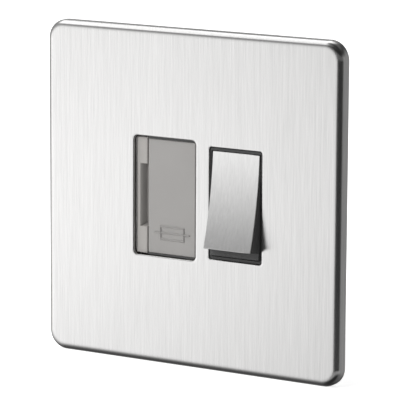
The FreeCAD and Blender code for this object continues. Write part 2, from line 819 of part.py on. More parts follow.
def latches(half_w, thick, hook):
    start = chamber_depth - latch_length
    made = []
    for side in (-1, 1):
        inner = side * (housing_half_w - thick)
        outer = side * (housing_half_w - thick - hook)
        for z in (-latch_place, latch_place):
            leg = box(sorted((inner, side * (housing_half_w + seat))), (start - seat, chamber_depth + seat),
                      around(z, half_w))
            barb = box(sorted((outer, inner)), (start - seat, start + latch_barb), around(z, half_w))
            made += [leg, barb]
    return made


def coverPosts():
    start = strap_back + seat
    fixed_start = fixed_bar_front + strap_thick + seat
    posts = []
    for x in pole_xs.values():
        posts.append((around(x, seesaw_w / 2), start, (-bracket_down, bracket_up)))
        posts.append((around(x, seesaw_w / 2), fixed_start, (fixed_bar_start, fixed_bar_bend)))
    clip_z = (fuse_length / 2 - fuse_cap_length / 2 - clip_w / 2, fuse_length / 2)
    foot = (clip_foot_x - strap_w + fit, clip_foot_x - fit)
    posts.append((foot, start, clip_z))
    posts.append((foot, start, (-clip_z[1], -clip_z[0])))
    posts.append(((earth_x + fit, earth_x + earth_bar_w - fit), start, around(0, earth_finger_h)))
    return [box(x, (y, chamber_depth + seat), z) for x, y, z in posts]


def rearCover():
    back = chamber_depth + cover_thick
    cover = chamberBlock((chamber_depth, back))
    trim = box(around(0, housing_half_w), (0, back), around(0, chamber_half_h))
    legs = [leg.common(trim) for leg in latches(latch_w / 2, latch_thick, latch_hook)]
    return fused(cover, coverPosts() + legs)


save("face_plate", [facePlate()])
save("fixing_frame", [fixingFrame()])
save("fuse_surround", [fuseSurround()])
save("fuse_carrier", [fuseCarrier()])
save("fuse_barrel", [fuseBarrel()])
save("fuse_caps", [fuseCap(1), fuseCap(-1)])
clip_top = fuse_length / 2 - fuse_cap_length / 2 + clip_w / 2
save("upper_fuse_clip", [fuseClip(1, strap_y - strap_thick, clip_foot_x, clip_top)])
save("lower_fuse_clip", [fuseClip(-1, strap_y, clip_foot_x, terminal_start + strap_lap)])
save("rocker", [rockerBody()])
save("rocker_cap", [rockerCap()])
bracket_straps = {"live": liveLink(), "neutral": neutralTail()}
for pole, pole_x in pole_xs.items():
    save(pole + "_plunger", [plunger(pole_x)])
    save(pole + "_plunger_spring", [plungerSpring(pole_x)])
    save(pole + "_moving_contact", [seesaw(pole_x)])
    save(pole + "_moving_tip", [movingTip(pole_x)])
    save(pole + "_fixed_tip", [fixedTip(pole_x)])
    save(pole + "_fixed_contact", [fixedContact(pole_x)])
    save(pole + "_contact_bracket", [contactBracket(pole_x, bracket_straps[pole])])
for node, place in terminalPlaces().items():
    save(node, [terminal(*place)])
save("terminal_screws", [terminalScrew(*place) for place in terminalPlaces().values()])
save("earth_bar", [earthBar()])
save("front_housing", [frontHousing()])
save("rear_cover", [rearCover()])
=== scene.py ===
import bpy, bmesh, json, math
from mathutils import Matrix, Vector


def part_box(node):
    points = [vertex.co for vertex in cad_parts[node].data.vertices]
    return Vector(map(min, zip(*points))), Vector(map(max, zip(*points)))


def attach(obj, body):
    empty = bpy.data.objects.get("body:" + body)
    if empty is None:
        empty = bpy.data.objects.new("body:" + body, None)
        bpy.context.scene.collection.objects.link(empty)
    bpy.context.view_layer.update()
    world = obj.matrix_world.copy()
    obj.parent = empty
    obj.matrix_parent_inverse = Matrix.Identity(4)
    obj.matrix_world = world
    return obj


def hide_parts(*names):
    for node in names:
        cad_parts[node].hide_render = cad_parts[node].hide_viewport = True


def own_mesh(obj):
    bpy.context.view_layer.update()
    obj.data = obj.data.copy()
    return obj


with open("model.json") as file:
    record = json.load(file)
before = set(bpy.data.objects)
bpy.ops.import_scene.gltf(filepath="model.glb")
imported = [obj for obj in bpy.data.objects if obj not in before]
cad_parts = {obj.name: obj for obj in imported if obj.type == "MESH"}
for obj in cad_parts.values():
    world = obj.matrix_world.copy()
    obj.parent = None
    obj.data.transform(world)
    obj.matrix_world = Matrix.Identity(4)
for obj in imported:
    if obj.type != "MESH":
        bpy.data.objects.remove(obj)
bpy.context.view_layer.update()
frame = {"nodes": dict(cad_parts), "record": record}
nodes = frame["nodes"]
mm = 0.001  # shapes are drawn in millimetres, as in the part's source
print("frame loaded:", len(nodes), "nodes")


# A socket of a material, so that shader sums read as sums
class Wire:
    def __init__(self, finish, socket):
        self.finish = finish
        self.socket = socket

    def math(self, operation, first, second):
        return self.finish.node("ShaderNodeMath", {"operation": operation}, {0: first, 1: second})

    def __add__(self, other):
        return self.math("ADD", self, other)

    def __sub__(self, other):
        return self.math("SUBTRACT", self, other)

    def __rsub__(self, other):
        return self.math("SUBTRACT", other, self)

    def __mul__(self, other):
        return self.math("MULTIPLY", self, other)

    __radd__ = __add__
    __rmul__ = __mul__

    def clipped(self):
        return self.math("MINIMUM", self.math("MAXIMUM", self, 0.0), 1.0)

    # 0 up to start, 1 from start + width on
    def ramp(self, start, width):
        return ((self - start) * (1 / width)).clipped()


# One material, or the studio's surroundings, with its nodes
class Finish:
    def __init__(self, name, tree=None):
        if tree is None:
            self.material = bpy.data.materials.new(name)
            self.material.use_nodes = True
            tree = self.material.node_tree
        self.tree = tree
        tree.nodes.clear()

    def node(self, kind, settings=None, inputs=None, output=0):
        made = self.tree.nodes.new(kind)
        for key, value in (settings or {}).items():
            if key == "stops":
                self.setStops(made.color_ramp, value)
            else:
                setattr(made, key, value)
        for key, value in (inputs or {}).items():
            self.feed(made.inputs[key], value)
        return Wire(self, made.outputs[output]) if len(made.outputs) else None

    def setStops(self, ramp, stops):
        for element, (place, level) in zip(ramp.elements, (stops[0], stops[-1])):
            element.position = place
            element.color = shade(level)
        for place, level in stops[1:-1]:
            ramp.elements.new(place).color = shade(level)

    def feed(self, socket, value):
        if isinstance(value, Wire):
            self.tree.links.new(value.socket, socket)
        else:
            socket.default_value = value

    def spot(self, kind="Object"):
        return self.node("ShaderNodeTexCoord", output=kind)

    def axis(self, vector, index):
        return self.node("ShaderNodeSeparateXYZ", None, {"Vector": vector}, index)

    def noise(self, perMetre, detail=2.0, roughness=0.5):
        place = self.node("ShaderNodeVectorMath", {"operation": "MULTIPLY"},
                          {0: self.spot(), 1: perMetre})
        return self.node("ShaderNodeTexNoise", None,
                         {"Vector": place, "Scale": 1.0, "Detail": detail, "Roughness": roughness})

    def fineNoise(self, perMetre):
        return self.noise(perMetre, detail=3.0, roughness=0.6)

    def tint(self, amount, first, second):
        return self.node("ShaderNodeMix", {"data_type": "RGBA"},
                         {0: amount, 6: first, 7: second}, output=2)

    def bump(self, height, strength, distance):
        return self.node("ShaderNodeBump", None,
                         {"Height": height, "Strength": strength, "Distance": distance})

    def surface(self, **sockets):
        shader = self.node("ShaderNodeBsdfPrincipled", None,
                           {key.replace("_", " "): value for key, value in sockets.items()})
        self.node("ShaderNodeOutputMaterial", None, {"Surface": shader})
        return self.material


def shade(level, warm=0.0):
    return (level * (1 + warm), level, level * (1 - warm), 1.0)


noiseMiddle = 0.5  # what the noise swings about


# Brushed steel: hair lines that run along Z, the broad ones twice as long as the fine ones
def brushedSteel(name, settings):
    steel = Finish(name)
    along = settings["alongPerM"]
    fine = steel.fineNoise((settings["finePerM"], settings["finePerM"], along))
    broad = steel.noise((settings["broadPerM"], settings["broadPerM"], along / 2))
    lines = fine * settings["fineShare"] + broad * (1 - settings["fineShare"])
    swing = lines - noiseMiddle
    tone = (swing * settings["contrast"] + noiseMiddle).clipped()
    warm = settings["warm"]
    colour = steel.tint(tone, shade(settings["dark"], warm), shade(settings["light"], warm))
    return steel.surface(Base_Color=colour, Metallic=1.0, Anisotropic=settings["across"],
                         Roughness=settings["rough"] + swing * settings["roughSwing"],
                         Normal=steel.bump(lines, settings["bump"], settings["bumpDepth"]))


# What all mouldings share
mouldedSkin = {"toneSwing": 0.05, "roughSwing": 0.12, "bumpDepth": 0.00004}


# Moulded plastic with a fine spark-eroded skin, optionally darker deeper in along Y as painted
# shade for a shadowed slot
def moulding(name, settings):
    plastic = Finish(name)
    skin = plastic.fineNoise((settings["skinPerM"],) * 3)
    cloud = plastic.noise((settings["cloudPerM"],) * 3)
    level, warm = settings["level"], settings["warm"]
    colour = plastic.tint(cloud, shade(level * (1 - mouldedSkin["toneSwing"]), warm),
                          shade(level * (1 + mouldedSkin["toneSwing"]), warm))
    # painted shade: the colour darkens deeper in along Y, where the slot lies in shadow
    if "paintedRecessShade" in settings:
        paintedRecessShade = settings["paintedRecessShade"]
        paintedShade = plastic.axis(plastic.spot(), 1).ramp(paintedRecessShade["start"] * mm, paintedRecessShade["depth"] * mm)
        colour = plastic.tint(paintedShade, colour, shade(level * paintedRecessShade["tone"], warm))
    rough = settings["rough"] + (cloud - noiseMiddle) * mouldedSkin["roughSwing"]
    return plastic.surface(Base_Color=colour, Roughness=rough,
                           Normal=plastic.bump(skin, settings["bump"], mouldedSkin["bumpDepth"]))


# What all plain metals share
metalSkin = {"cloudPerM": 350.0, "worn": (0.82, 0.8, 0.76), "roughSwing": 0.2, "bumpDepth": 0.00002}


# Plain metals inside: rolled, drawn or machined
def plainMetal(name, settings):
    metal = Finish(name)
    marks = metal.fineNoise(settings["marksPerM"])
    cloud = metal.noise((metalSkin["cloudPerM"],) * 3)
    bright = settings["colour"]
    worn = [part * share for part, share in zip(bright, metalSkin["worn"])]
    colour = metal.tint((marks + cloud) * 0.5, (*worn, 1), (*bright, 1))
    rough = settings["rough"] + (cloud - noiseMiddle) * metalSkin["roughSwing"]
    return metal.surface(Base_Color=colour, Metallic=1.0, Roughness=rough,
                         Normal=metal.bump(marks, settings["bump"], metalSkin["bumpDepth"]))


plateSteel = brushedSteel("plate_steel", {
    "finePerM": 5200.0, "broadPerM": 1900.0, "alongPerM": 110.0, "fineShare": 0.6,
    "contrast": 2.4, "dark": 0.6, "light": 0.745, "warm": 0.006,
    "rough": 0.22, "roughSwing": 0.06, "across": 0.8, "bump": 0.1, "bumpDepth": 0.00001})
capSteel = brushedSteel("cap_steel", {
    "finePerM": 5200.0, "broadPerM": 1900.0, "alongPerM": 130.0, "fineShare": 0.6,
    "contrast": 2.0, "dark": 0.6, "light": 0.73, "warm": 0.005,
    "rough": 0.2, "roughSwing": 0.06, "across": 0.0, "bump": 0.08, "bumpDepth": 0.00001})
# Rough steel of the apertures' cut walls; its dark colour is painted shade of the shadowed walls
cutSteelPaintedShade = plainMetal("cut_steel_painted_shade", {
    "colour": (0.22, 0.22, 0.215), "marksPerM": (3000.0, 900.0, 3000.0), "rough": 0.5, "bump": 0.3})
greySkin = moulding("grey_moulding", {
    "skinPerM": 9000.0, "cloudPerM": 120.0, "level": 0.25, "warm": 0.03, "rough": 0.42,
    "bump": 0.25})
# painted shade in the strip's slot: darker from Y -2.4 mm back to -1.8 mm
surroundSkin = moulding("surround_moulding", {
    "skinPerM": 9000.0, "cloudPerM": 120.0, "level": 0.284, "warm": 0.045, "rough": 0.42,
    "bump": 0.25, "paintedRecessShade": {"start": -2.4, "depth": 0.6, "tone": 0.74}})
blackSkin = moulding("black_moulding", {
    "skinPerM": 9000.0, "cloudPerM": 150.0, "level": 0.055, "warm": 0.0, "rough": 0.4,
    "bump": 0.2})
housingSkin = moulding("housing_moulding", {
    "skinPerM": 6000.0, "cloudPerM": 100.0, "level": 0.035, "warm": 0.0, "rough": 0.45,
    "bump": 0.3})
coverSkin = moulding("cover_moulding", {
    "skinPerM": 5000.0, "cloudPerM": 90.0, "level": 0.05, "warm": 0.0, "rough": 0.5,
    "bump": 0.35})
frameSkin = moulding("frame_moulding", {
    "skinPerM": 5000.0, "cloudPerM": 80.0, "level": 0.5, "warm": 0.01, "rough": 0.5,
    "bump": 0.3})
plungerSkin = moulding("plunger_moulding", {
    "skinPerM": 8000.0, "cloudPerM": 200.0, "level": 0.75, "warm": 0.03, "rough": 0.32,
    "bump": 0.1})
ceramicGlaze = moulding("ceramic", {
    "skinPerM": 7000.0, "cloudPerM": 200.0, "level": 0.78, "warm": 0.03, "rough": 0.3,
    "bump": 0.1})
rolledBrass = plainMetal("rolled_brass", {
    "colour": (0.78, 0.57, 0.27), "marksPerM": (400.0, 5000.0, 5000.0), "rough": 0.3, "bump": 0.2})
machinedBrass = plainMetal("machined_brass", {
    "colour": (0.82, 0.62, 0.3), "marksPerM": (1500.0, 1500.0, 9000.0), "rough": 0.26,
    "bump": 0.25})
phosphorBronze = plainMetal("phosphor_bronze", {
    "colour": (0.72, 0.47, 0.26), "marksPerM": (5000.0, 5000.0, 400.0), "rough": 0.28, "bump": 0.2})
nickelPlate = plainMetal("nickel_plate", {
    "colour": (0.72, 0.7, 0.65), "marksPerM": (3000.0, 3000.0, 600.0), "rough": 0.2, "bump": 0.1})
springWire = plainMetal("spring_wire", {
    "colour": (0.5, 0.5, 0.5), "marksPerM": (4000.0,) * 3, "rough": 0.25, "bump": 0.1})
silverFace = plainMetal("silver_face", {
    "colour": (0.86, 0.85, 0.83), "marksPerM": (2500.0,) * 3, "rough": 0.22, "bump": 0.1})
zincPlate = plainMetal("zinc_plate", {
    "colour": (0.66, 0.67, 0.7), "marksPerM": (2500.0,) * 3, "rough": 0.27, "bump": 0.15})

slotFinish = {
    "brushed_steel": plateSteel, "grey_moulding": greySkin, "black_moulding": blackSkin,
    "housing_moulding": housingSkin, "cover_moulding": coverSkin, "frame_moulding": frameSkin,
    "plunger_moulding": plungerSkin, "ceramic": ceramicGlaze, "brass": rolledBrass,
    "terminal_brass": machinedBrass, "spring_brass": phosphorBronze, "nickel_plate": nickelPlate,
    "spring_steel": springWire, "silver": silverFace, "zinc_screw": zincPlate}
nodeFinish = {row["node"]: slotFinish[row["material_slot"]] for row in frame["record"]["subparts"]}
nodeFinish["fuse_surround"] = surroundSkin  # a little lighter and warmer than the carrier
for name, node in nodes.items():
    node.data.materials.clear()
    node.data.materials.append(nodeFinish[name])
print("finishes on", len(nodes), "nodes")


def softenEdges(piece, settings):
    bevel = piece.modifiers.new("soft edge", "BEVEL")
    bevel.width = settings["width"] * mm
    bevel.segments = settings["segments"]
    bevel.limit_method = "ANGLE"
    bevel.angle_limit = math.radians(settings["angle"])
    bevel.harden_normals = settings["harden"]


# Moulded, stamped and machined edges catch a thin line of light
edges = {"segments": 2, "angle": 40, "harden": True}
edgeWidths = {"rocker": 0.1, "fuse_carrier": 0.1, "fuse_surround": 0.1, "front_housing": 0.15,
              "rear_cover": 0.15, "fixing_frame": 0.12, "earth_bar": 0.06}
terminalEdge = 0.12
for name in nodes:
    if name.endswith("_terminal"):
        edgeWidths[name] = terminalEdge
for name, width in edgeWidths.items():
    softenEdges(nodes[name], {**edges, "width": width})
print("soft edges on", len(edgeWidths), "nodes")


# Makes a piece of the shape: smooth up to softAngle in degrees, or faceted without one
def pieceFrom(shape, name, finish, body, softAngle=None):
    if softAngle:
        bmesh.ops.remove_doubles(shape, verts=shape.verts, dist=1e-7)
    bmesh.ops.recalc_face_normals(shape, faces=shape.faces)
    mesh = bpy.data.meshes.new(name)
    shape.to_mesh(mesh)
    shape.free()
    if softAngle:
        for polygon in mesh.polygons:
            polygon.use_smooth = True
        mesh.set_sharp_from_angle(angle=math.radians(softAngle))
    mesh.materials.append(finish)
    piece = bpy.data.objects.new(name, mesh)
    bpy.context.scene.collection.objects.link(piece)
    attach(piece, body)
    print("made", name)
    return piece


def roundedLoop(x, z, halfW, halfH, radius, steps):
    loop = []
    for k, (sx, sz) in enumerate(((1, 1), (-1, 1), (-1, -1), (1, -1))):
        for step in range(steps + 1):
            turn = math.radians(90 * (k + step / steps))
            loop.append((x + sx * (halfW - radius) + radius * math.cos(turn),
                         z + sz * (halfH - radius) + radius * math.sin(turn)))
    return loop


def roundLoop(x, z, radius, count):
    turns = [2 * math.pi * k / count for k in range(count)]
    return [(x + radius * math.cos(turn), z + radius * math.sin(turn)) for turn in turns]


def layLoop(shape, loop, y):
    return [shape.verts.new((x * mm, y * mm, z * mm)) for x, z in loop]


def joinLoops(shape, loops, finishIndex=0):
    for lower, upper in zip(loops, loops[1:]):
        count = len(lower)
        for k in range(count):
            following = (k + 1) % count
            face = shape.faces.new((lower[k], lower[following], upper[following], upper[k]))
            face.material_index = finishIndex


def joinAndClose(shape, loops):
    joinLoops(shape, loops)
    shape.faces.new(loops[-1])
    shape.faces.new(loops[0][::-1])


def fillBetween(shape, loops):
    borders = []
    for loop in loops:
        for k in range(len(loop)):
            pair = (loop[k], loop[(k + 1) % len(loop)])
            borders.append(shape.edges.get(pair) or shape.edges.new(pair))
    bmesh.ops.triangle_fill(shape, use_beauty=True, use_dissolve=False, edges=borders)


# Pressed face plate: flat front, rolled outer edge, skirt and the two apertures
plate = {"side": 88.0, "front": -3.5, "back": -0.2, "wall": 0.9, "cornerR": 5.0, "cornerSteps": 14,
         "edgeR": 1.8, "edgeSteps": 10, "innerSteps": 6, "lipEase": 0.1, "softAngle": 28,
         "margin": 0.5,  # flat band beside each roll, so that the roll doesn't shade the front
         # middle x and z, half width, half height, corner radius, rolled rim's radius
         "apertures": [(-7.7, 0.0, 9.3, 15.6, 1.2, 0.32), (13.45, 0.0, 7.75, 14.55, 0.7, 0.2)],
         "apertureSteps": 8, "rimSteps": 5}


def pressPlate():
    shape = bmesh.new()
    half = plate["side"] / 2
    front, back, wall = plate["front"], plate["back"], plate["wall"]
    inner = front + wall

    def outline(inset, y):
        return layLoop(shape, roundedLoop(0, 0, half - inset, half - inset,
                                          plate["cornerR"] - inset, plate["cornerSteps"]), y)

    def roll(inset, y, radius, steps):
        turns = [math.radians(90 * step / steps) for step in range(steps + 1)]
        return [outline(inset + radius * (1 - math.sin(turn)), y + radius * (1 - math.cos(turn)))
                for turn in turns]

    outside = [outline(plate["edgeR"] + plate["margin"], front)]
    outside += roll(0, front, plate["edgeR"], plate["edgeSteps"])
    inside = roll(wall, inner, plate["edgeR"] - wall, plate["innerSteps"])
    ease = plate["lipEase"]
    lip = [outline(0, back - ease), outline(ease, back),
           outline(wall - ease, back), outline(wall, back - ease)]
    joinLoops(shape, outside + lip + inside[::-1])
    fronts, backs = [outside[0]], [inside[0]]
    for x, z, w, h, cornerR, rimR in plate["apertures"]:

        def opening(grow, y):
            return layLoop(shape, roundedLoop(x, z, w + grow, h + grow, cornerR + grow,
                                              plate["apertureSteps"]), y)

        rims = [opening(rimR + plate["margin"], front)]
        for step in range(plate["rimSteps"] + 1):
            turn = math.radians(90 * step / plate["rimSteps"])
            rims.append(opening(rimR * (1 - math.sin(turn)), front + rimR * (1 - math.cos(turn))))
        rims.append(opening(0, inner))
        joinLoops(shape, rims[:-1])
        joinLoops(shape, rims[-2:], 1)  # the cut wall has the second finish, dark as painted shade
        fronts.append(rims[0])
        backs.append(rims[-1])
    fillBetween(shape, fronts)
    fillBetween(shape, backs)
    piece = pieceFrom(shape, "pressed_plate", plateSteel, "base",
                      plate["softAngle"])
    piece.data.materials.append(cutSteelPaintedShade)
    piece.modifiers.new("level front", "WEIGHTED_NORMAL").keep_sharp = True
    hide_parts("face_plate")


# Where the rocker stands at rest; its own -Y points out of its face, its Z runs along it
rockerUnit = {"x": 13.45, "pivotY": 1.6, "tilt": -10.3}
rockerLean = Matrix.Rotation(math.radians(rockerUnit["tilt"]), 3, "X")


def onRocker(x, y, z):
    return (rockerLean @ Vector((x, y, z)) + Vector((0, rockerUnit["pivotY"], 0))) * mm


# Concave steel cap on the rocker
cap = {"halfLength": 12.5, "height": 7.15, "faceR": 100.0, "thick": 0.5, "halfW": 6.93,
       "lengthSteps": 48, "widthSteps": 6, "softAngle": 30,
       "edge": {"width": 0.14, "segments": 3, "angle": 50, "harden": False}}


def rockerCapPiece():
    shape = bmesh.new()
    sag = cap["faceR"] - math.sqrt(cap["faceR"] ** 2 - cap["halfLength"] ** 2)
    centre = cap["height"] - sag + cap["faceR"]
    rims = []
    for radius in (cap["faceR"], cap["faceR"] + cap["thick"]):
        rows = []
        for i in range(cap["lengthSteps"] + 1):
            along = cap["halfLength"] * (2 * i / cap["lengthSteps"] - 1)
            out = centre - math.sqrt(radius ** 2 - along ** 2)
            row = []
            for j in range(cap["widthSteps"] + 1):
                x = rockerUnit["x"] + cap["halfW"] * (2 * j / cap["widthSteps"] - 1)
                row.append(shape.verts.new(onRocker(x, -out, along)))
            rows.append(row)
        for a, b in zip(rows, rows[1:]):
            for j in range(cap["widthSteps"]):
                shape.faces.new((a[j], a[j + 1], b[j + 1], b[j]))
        rims.append(rows[0] + [row[-1] for row in rows[1:-1]] + rows[-1][::-1]
                    + [row[0] for row in rows[-2:0:-1]])
    joinLoops(shape, rims)
    piece = pieceFrom(shape, "rocker_cap_steel", capSteel, "rocker_unit",
                      cap["softAngle"])
    softenEdges(piece, cap["edge"])
    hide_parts("rocker_cap")


# Wound springs with closed ends, from the plungers up to the rocker's roof
coil = {"x": {"live": 10.05, "neutral": 16.85}, "radius": 1.03, "wireR": 0.18,
        "low": 0.73, "high": 4.2357,  # the wire's middle, by the plunger and by the rocker's roof
        "turns": 3.0, "endTurns": 0.6, "steps": 20, "sides": 8, "travel": 0.8, "softAngle": 50}


def plungerSpring(pole):
    shape = bmesh.new()
    x, wireR = coil["x"][pole], coil["wireR"]
    rings = []
    for k in range(round((coil["turns"] + 2 * coil["endTurns"]) * coil["steps"]) + 1):
        turn = 2 * math.pi * k / coil["steps"]
        share = (k / coil["steps"] - coil["endTurns"]) / coil["turns"]
        height = coil["low"] + (coil["high"] - coil["low"]) * min(max(share, 0.0), 1.0)
        ring = []
        for side in range(coil["sides"]):
            angle = 2 * math.pi * side / coil["sides"]
            reach = coil["radius"] + wireR * math.cos(angle)
            ring.append(shape.verts.new(onRocker(x + reach * math.cos(turn),
                                                 wireR * math.sin(angle) - height,
                                                 reach * math.sin(turn))))
        rings.append(ring)
    joinAndClose(shape, rings)
    piece = pieceFrom(shape, pole + "_wound_spring", springWire, "rocker_unit",
                      coil["softAngle"])
    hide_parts(pole + "_plunger_spring")
    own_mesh(piece)


# Slotted, threaded terminal screws in place of plain pins
terminalScrew = {"radius": 1.75, "root": 1.55, "start": 10.6, "slotFloor": 13.35, "end": 14.1,
                 "slotW": 0.62, "chamfer": 0.18, "pitch": 0.5, "z": 24.0, "arcSteps": 14,
                 # x, side, turn of the slot in degrees
                 "places": [(8.45, 1, 20), (18.45, 1, 75), (-18.45, 1, -35), (-5.0, -1, 55),
                            (16.85, -1, -15), (-18.45, -1, 5)]}


def threadedShank(shape, x, z):
    halfPitch = terminalScrew["pitch"] / 2
    rows = round((terminalScrew["slotFloor"] - terminalScrew["start"]) / halfPitch)
    loops = []
    for row in range(rows + 1):
        radius = terminalScrew["root"] if row % 2 else terminalScrew["radius"]
        loops.append(layLoop(shape, roundLoop(x, z, radius, 2 * terminalScrew["arcSteps"]),
                             terminalScrew["start"] + row * halfPitch))
    joinAndClose(shape, loops)


# The head beside the slot, on one side of it
def headHalf(shape, x, z, turn, side):
    steps = terminalScrew["arcSteps"]

    def outline(radius, gap, y):
        first = math.asin(gap / radius)
        loop = []
        for k in range(steps + 1):
            angle = first + (math.pi - 2 * first) * k / steps
            along, off = radius * math.cos(angle), side * radius * math.sin(angle)
            loop.append((x + along * math.cos(turn) - off * math.sin(turn),
                         z + along * math.sin(turn) + off * math.cos(turn)))
        return layLoop(shape, loop, y)

    radius, gap = terminalScrew["radius"], terminalScrew["slotW"] / 2
    chamfer, end = terminalScrew["chamfer"], terminalScrew["end"]
    joinAndClose(shape, [outline(radius, gap, terminalScrew["slotFloor"]),
                         outline(radius, gap, end - chamfer),
                         outline(radius - chamfer, gap + chamfer / 3, end)])


def terminalScrews():
    shape = bmesh.new()
    for x, side, turn in terminalScrew["places"]:
        z = side * terminalScrew["z"]
        threadedShank(shape, x, z)
        for half in (-1, 1):
            headHalf(shape, x, z, math.radians(turn), half)
    piece = pieceFrom(shape, "slotted_screws", zincPlate, "base")
    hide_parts("terminal_screws")


# Raised border and ejector marks on the rear cover
coverRelief = {"inset": 3.0, "border": 0.8, "height": 0.25, "sink": 0.05, "cornerR": 2.0,
               "cornerSteps": 6, "markR": 2.2, "markEdge": 0.18, "markInset": 7.0,
               "markHeight": 0.08, "markSteps": 28, "softAngle": 30}


def rearCoverRelief():
    low, high = [[value / mm for value in corner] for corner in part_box("rear_cover")]
    x, z = (low[0] + high[0]) / 2, (low[2] + high[2]) / 2
    halfW, halfH = (high[0] - low[0]) / 2, (high[2] - low[2]) / 2
    face = high[1]
    foot = face - coverRelief["sink"]
    shape = bmesh.new()

    def ring(inset, y):
        inset += coverRelief["inset"]
        return layLoop(shape, roundedLoop(x, z, halfW - inset, halfH - inset,
                                          coverRelief["cornerR"], coverRelief["cornerSteps"]), y)

    border, height = coverRelief["border"], coverRelief["height"]
    loops = [ring(0, foot), ring(height / 2, face + height),
             ring(border - height / 2, face + height), ring(border, foot)]
    joinLoops(shape, loops + loops[:1])
    markR, edge, inset = [coverRelief[key] for key in ("markR", "markEdge", "markInset")]
    crest = face + coverRelief["markHeight"]
    mark = [(markR, foot), (markR - edge / 2, crest), (markR - edge, foot)]
    for sideX in (-1, 1):
        for sideZ in (-1, 1):
            markX, markZ = x + sideX * (halfW - inset), z + sideZ * (halfH - inset)
            rings = [layLoop(shape, roundLoop(markX, markZ, radius, coverRelief["markSteps"]), y)
                     for radius, y in mark]
            joinLoops(shape, rings + rings[:1])
    pieceFrom(shape, "cover_relief", coverSkin, "base", coverRelief["softAngle"])


# Black collar in the rocker's aperture, with ends that follow the rocker's swing
collar = {"outerW": 7.69, "outerH": 14.49, "outerR": 0.66, "innerW": 7.25, "innerR": 0.3,
          "swingR": 14.47, "front": -3.2, "back": -2.58, "ease": 0.1, "cornerSteps": 6,
          "softAngle": 30}


def rockerCollar():
    shape = bmesh.new()
    front, back, ease = collar["front"], collar["back"], collar["ease"]

    def around(halfW, halfH, radius, y):
        return layLoop(shape, roundedLoop(rockerUnit["x"], 0, halfW, halfH, radius,
                                          collar["cornerSteps"]), y)

    def outer(shrink, y):
        return around(collar["outerW"] - shrink, collar["outerH"] - shrink,
                      collar["outerR"] - shrink, y)

    def inner(grow, y):
        reach = math.sqrt(collar["swingR"] ** 2 - (rockerUnit["pivotY"] - y) ** 2)
        return around(collar["innerW"] + grow, reach + grow, collar["innerR"] + grow, y)

    loops = [outer(0, back), outer(0, front + ease), outer(ease, front), inner(ease, front),
             inner(0, front + ease), inner(0, (front + back) / 2), inner(0, back)]
    joinLoops(shape, loops + loops[:1])
    pieceFrom(shape, "rocker_collar", housingSkin, "base",
              collar["softAngle"])


# Black lips above and below the carrier's panel, which close the gap there; their black is painted
# shade, standing for the shadow in that gap
lip = {"x": (-13.3, 1.45), "z": (15.06, 15.52), "front": -2.62, "back": -2.1, "ease": 0.08,
       "softAngle": 30}


def shadowGapLips():
    shape = bmesh.new()
    left, right = lip["x"]
    for side in (-1, 1):
        low, high = sorted(side * z for z in lip["z"])

        def band(inset, y):
            return layLoop(shape, [(left + inset, low + inset), (right - inset, low + inset),
                                   (right - inset, high - inset), (left + inset, high - inset)], y)

        joinAndClose(shape, [band(0, lip["back"]), band(0, lip["front"] + lip["ease"]),
                             band(lip["ease"], lip["front"])])
    pieceFrom(shape, "shadow_gap_lips", blackSkin, "base", lip["softAngle"])


# Low relief on the carrier: the circuit symbol of a fuse, a box with a line through it
symbol = {"x": -5.9, "z": -9.4, "face": -2.6, "boxW": 3.5, "boxH": 1.65, "reach": 5.4,
          "stroke": 0.56, "height": 0.3, "sink": 0.05, "slope": 0.24}


def reliefBar(shape, x, z):
    face = symbol["face"]

    def band(inset, y):
        return layLoop(shape, [(x[0] + inset, z[0] + inset), (x[1] - inset, z[0] + inset),
                               (x[1] - inset, z[1] - inset), (x[0] + inset, z[1] - inset)], y)

    joinAndClose(shape, [band(0, face + symbol["sink"]), band(0, face),
                         band(symbol["slope"], face - symbol["height"])])


def fuseSymbol():
    shape = bmesh.new()
    half, reach = symbol["stroke"] / 2, symbol["reach"]
    x, z, w, h = [symbol[key] for key in ("x", "z", "boxW", "boxH")]
    for side in (-1, 1):
        alongZ, alongX = z + side * h, x + side * w
        reliefBar(shape, (x - w - half, x + w + half), (alongZ - half, alongZ + half))
        reliefBar(shape, (alongX - half, alongX + half), (z - h + half, z + h - half))
    reliefBar(shape, (x - reach, x + reach), (z - half, z + half))
    pieceFrom(shape, "fuse_symbol", greySkin, "carrier")


pressPlate()
rockerCapPiece()
plungerSpring("live")
plungerSpring("neutral")
terminalScrews()
rearCoverRelief()
rockerCollar()
shadowGapLips()
fuseSymbol()
print("all pieces made")

# Camera, fitted to the plate's outline: its spot and sensor are in millimetres, clip in metres
camera = {"spot": (388.983, -640.745, 137.115), "right": (0.85484, 0.51886, 0.00488),
          "up": (-0.09767, 0.15167, 0.98359), "back": (0.50961, -0.8413, 0.18033),
          "focalPixels": 2964.1, "picture": 400.0, "sensor": 36.0, "clip": (0.01, 20.0)}


def placeCamera():
    data = bpy.data.cameras.new("camera")
    data.sensor_width = camera["sensor"]
    data.lens = camera["focalPixels"] / camera["picture"] * camera["sensor"]
    data.clip_start, data.clip_end = camera["clip"]
    eye = bpy.data.objects.new("camera", data)
    turn = Matrix((camera["right"], camera["up"], camera["back"])).transposed().to_4x4()
    eye.matrix_world = Matrix.Translation(Vector(camera["spot"]) * mm) @ turn
    bpy.context.scene.collection.objects.link(eye)
    bpy.context.scene.camera = eye


# Pale floor in metres, which glows a little so that it stays white in the picture
floor = {"height": -0.044, "side": 6.0, "level": 0.9, "grain": 0.995, "grainPerM": 60.0,
         "rough": 0.9, "glow": 0.75}


